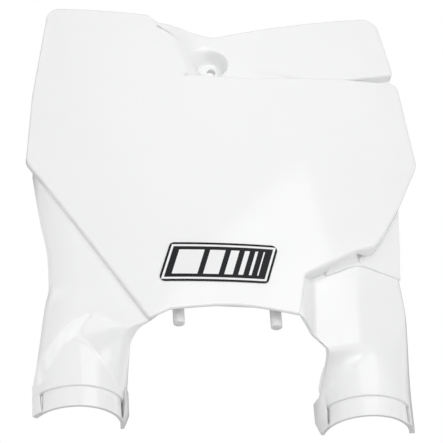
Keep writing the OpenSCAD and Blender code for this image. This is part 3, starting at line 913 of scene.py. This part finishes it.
def printed_vinyl():
    """Fields in the decal's own slanted coordinates: u runs along it from -1 to 1 and v up it from
    -1 to 1. White is where any of the light fields holds, and black elsewhere."""
    material, tree, shader = new_material("printed_vinyl")
    place = add_node(tree, "ShaderNodeTexCoord")
    split = add_node(tree, "ShaderNodeSeparateXYZ")
    tree.links.new(place.outputs["Object"], split.inputs["Vector"])
    z = calculated(tree, "SUBTRACT", split.outputs["Z"], float(decal_centre[1]) * MM)
    x = calculated(tree, "SUBTRACT", split.outputs["X"], float(decal_centre[0]) * MM)
    slant = calculated(tree, "MULTIPLY", z, decal_lean / decal_h)
    along = calculated(tree, "SUBTRACT", x, slant)
    u = calculated(tree, "DIVIDE", along, (decal_w - decal_lean) / 2 * MM)
    v = calculated(tree, "DIVIDE", z, decal_h / 2 * MM)
    u_abs = calculated(tree, "ABSOLUTE", u)
    v_abs = calculated(tree, "ABSOLUTE", v)
    size_u, size_v = (decal_w - decal_lean) / 2, decal_h / 2

    def within(margin):
        """1 inside a slanted box that lies a margin in millimetres inside the decal's edge."""
        return calculated(tree, "MULTIPLY",
                          calculated(tree, "LESS_THAN", u_abs, 1 - margin / size_u),
                          calculated(tree, "LESS_THAN", v_abs, 1 - margin / size_v))

    def between(left, right):
        """1 between two places along the decal, given in millimetres from its middle."""
        return calculated(tree, "MULTIPLY",
                          calculated(tree, "GREATER_THAN", u, left / size_u),
                          calculated(tree, "LESS_THAN", u, right / size_u))

    keyline = calculated(tree, "SUBTRACT", within(keyline_outer), within(keyline_inner))
    bars = between(*white_bars[0])
    for ends in white_bars[1:]:
        bars = calculated(tree, "MAXIMUM", bars, between(*ends))
    light = calculated(tree, "MAXIMUM", keyline, calculated(tree, "MULTIPLY", bars, within(bar_margin)))
    ink = add_node(tree, "ShaderNodeMix", data_type="RGBA")
    ink.inputs["A"].default_value = (0.018, 0.018, 0.02, 1)
    ink.inputs["B"].default_value = (0.86, 0.86, 0.865, 1)
    tree.links.new(light, ink.inputs["Factor"])
    tree.links.new(ink.outputs["Result"], shader.inputs["Base Color"])
    tree.links.new(remapped(tree, noise_on_object(tree, 300, 2), 0.3, 0.38), shader.inputs["Roughness"])
    shader.inputs["Specular IOR Level"].default_value = 0.12
    add_bump(tree, shader, noise_on_object(tree, 700, 2), 0.1, 0.00003)
    return material


decal.data.materials.append(printed_vinyl())

# %% [markdown]
# ## Light, room and camera
# The photograph is a cut-out on white, lit by one near softbox and a bright room. The board's mirror
# image of the softbox has a sloping upper edge and a corner, which give the softbox's place: half a
# metre in front, to the right, rolled by 29 degrees. A wall of soft panels in front gives the even
# light. The world is white only where the camera looks, and grey around that, so that the rounded
# edges show as thin grey lines against the white, as they do in the photograph.

# %% The room
azimuth, elevation = math.radians(-12.0), math.radians(-33.0)
ahead = Vector((-math.sin(azimuth) * math.cos(elevation), math.cos(azimuth) * math.cos(elevation),
                -math.sin(elevation)))
# Each patch as (name, direction, full within, gone beyond, strength); straight ahead they add up to 1
room_tone = 0.35
room_patches = [
    ("back of the room", (0, 1, 0), 70, 110, 0.28),
    ("dark surround", ahead, 35, 60, -0.45),
    ("backdrop", ahead, 9, 11, 0.82)]


def bright_room():
    """World light that depends on direction only: one tone plus soft round patches. A patch is full
    within its first angle from its direction and gone at its second."""
    world = bpy.data.worlds.new("bright_room")
    bpy.context.scene.world = world
    world.use_nodes = True
    tree = world.node_tree
    background = tree.nodes["Background"]
    background.inputs["Color"].default_value = (1, 1, 1, 1)
    place = add_node(tree, "ShaderNodeTexCoord")
    total = room_tone
    for label, direction, full, gone, strength in room_patches:
        nearness = add_node(tree, "ShaderNodeVectorMath", operation="DOT_PRODUCT", label=label)
        nearness.inputs[1].default_value = Vector(direction).normalized()
        tree.links.new(place.outputs["Generated"], nearness.inputs[0])
        patch = add_node(tree, "ShaderNodeMapRange", interpolation_type="SMOOTHSTEP")
        patch.inputs["From Min"].default_value = math.cos(math.radians(gone))
        patch.inputs["From Max"].default_value = math.cos(math.radians(full))
        patch.inputs["To Max"].default_value = strength
        tree.links.new(nearness.outputs["Value"], patch.inputs["Value"])
        total = calculated(tree, "ADD", patch.outputs["Result"], total)
    tree.links.new(total, background.inputs["Strength"])


bright_room()

# %% The floor
floor_z = -1.35
half_floor = 4.0
floor_mesh = bpy.data.meshes.new("studio_floor")
floor_mesh.from_pydata([(-half_floor, -half_floor, floor_z), (half_floor, -half_floor, floor_z),
                        (half_floor, half_floor, floor_z), (-half_floor, half_floor, floor_z)],
                       [], [(0, 1, 2, 3)])
studio_floor = bpy.data.objects.new("studio_floor", floor_mesh)
bpy.context.scene.collection.objects.link(studio_floor)
floor_paint, floor_tree, floor_shader = new_material("pale_floor")
floor_shader.inputs["Base Color"].default_value = (0.8, 0.8, 0.8, 1)
floor_roughness = remapped(floor_tree, noise_on_object(floor_tree, 6, 2), 0.7, 0.8)
floor_tree.links.new(floor_roughness, floor_shader.inputs["Roughness"])
floor_mesh.materials.append(floor_paint)

# %% Lights
board_middle = Vector((0, 0, -0.12))


def soft_light(name, place, target, width, height, watts, roll=0.0):
    """A rectangular area light at a place in metres, turned towards a target and then rolled about
    its own axis. It lights and shows in reflections, and the camera doesn't see it directly."""
    light = bpy.data.lights.new(name, "AREA")
    light.shape = "RECTANGLE"
    light.size, light.size_y = width, height
    light.energy = watts
    lamp = bpy.data.objects.new(name, light)
    lamp.visible_camera = False
    bpy.context.scene.collection.objects.link(lamp)
    to_target = Vector(target) - Vector(place)
    lamp.matrix_world = (Matrix.Translation(Vector(place))
                         @ to_target.to_track_quat("-Z", "Y").to_matrix().to_4x4()
                         @ Matrix.Rotation(math.radians(roll), 4, "Z"))


softbox_x, softbox_z, softbox_distance = 0.169, 0.073, 0.5
softbox_w, softbox_h, softbox_watts = 0.447, 0.23, 0.446
soft_light("near_softbox", (softbox_x, -softbox_distance, softbox_z), (softbox_x, 0, softbox_z),
           softbox_w, softbox_h, softbox_watts, roll=28.6)

# Each panel as (turn to the right, rise, size, watts)
panel_distance, wide, narrow = 2.2, 1.2, 0.75
wall_of_light = [
    (-70, 0, narrow, 3.8), (-30, 0, narrow, 2.7), (10, 0, narrow, 3.8), (-110, -15, wide, 0.9),
    (0, -15, wide, 10.6), (35, -15, wide, 3.4), (110, -15, wide, 5), (-110, 15, wide, 2.4),
    (-70, 15, wide, 1.1), (-35, 15, wide, 0.9), (0, 15, wide, 0.65), (35, 15, wide, 3),
    (70, 15, wide, 0.8), (110, 15, wide, 1.7), (-70, 50, wide, 4.3), (0, 50, wide, 0.6)]
for number, (turn, rise, panel_size, watts) in enumerate(wall_of_light):
    turn, rise = math.radians(turn), math.radians(rise)
    out = Vector((math.sin(turn) * math.cos(rise), -math.cos(turn) * math.cos(rise), math.sin(rise)))
    soft_light(f"light_panel_{number}", board_middle + panel_distance * out, board_middle,
               panel_size, panel_size, watts)

# %% [markdown]
# ## The camera
# The photograph looks up at the board from below and a little from its left. Azimuth, elevation,
# roll and distance were found by fitting the outline, the hole, the pegs and both cup rims. The
# camera is built from its three axes, so that roll and aim stay exact.

# %% The camera from its fitted angles
FRAME_PIXELS = 443
FOCAL_PIXELS = 2066.0
SENSOR_MM = 36.0
roll = math.radians(-3.8)
aim = Vector((0.986, 3.0, -133.18)) * MM
distance = 1.5

level = Vector((math.cos(azimuth), math.sin(azimuth), 0))
upright = level.cross(ahead)
right = math.cos(roll) * level + math.sin(roll) * upright
up = math.cos(roll) * upright - math.sin(roll) * level
camera_data = bpy.data.cameras.new("camera")
camera_data.sensor_width = SENSOR_MM
camera_data.lens = FOCAL_PIXELS / FRAME_PIXELS * SENSOR_MM
camera = bpy.data.objects.new("camera", camera_data)
bpy.context.scene.collection.objects.link(camera)
place = aim - distance * ahead
camera.matrix_world = Matrix((
    (right.x, up.x, -ahead.x, place.x), (right.y, up.y, -ahead.y, place.y),
    (right.z, up.z, -ahead.z, place.z), (0, 0, 0, 1)))
bpy.context.scene.camera = camera
bpy.context.scene.view_settings.view_transform = "Standard"
print("Camera at", [round(value, 3) for value in place])

# %% [markdown]
# ## Hand over to the frame
# Every surface of the moulding rides on the one body and stands for the imported moulding, which is
# hidden, and the decal stands for its own node, which is hidden as well.

# %% Bodies and hidden imported parts
for piece in moulded:
    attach(piece, "root")
    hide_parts("number_board")
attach(decal, "root")
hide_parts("decal")
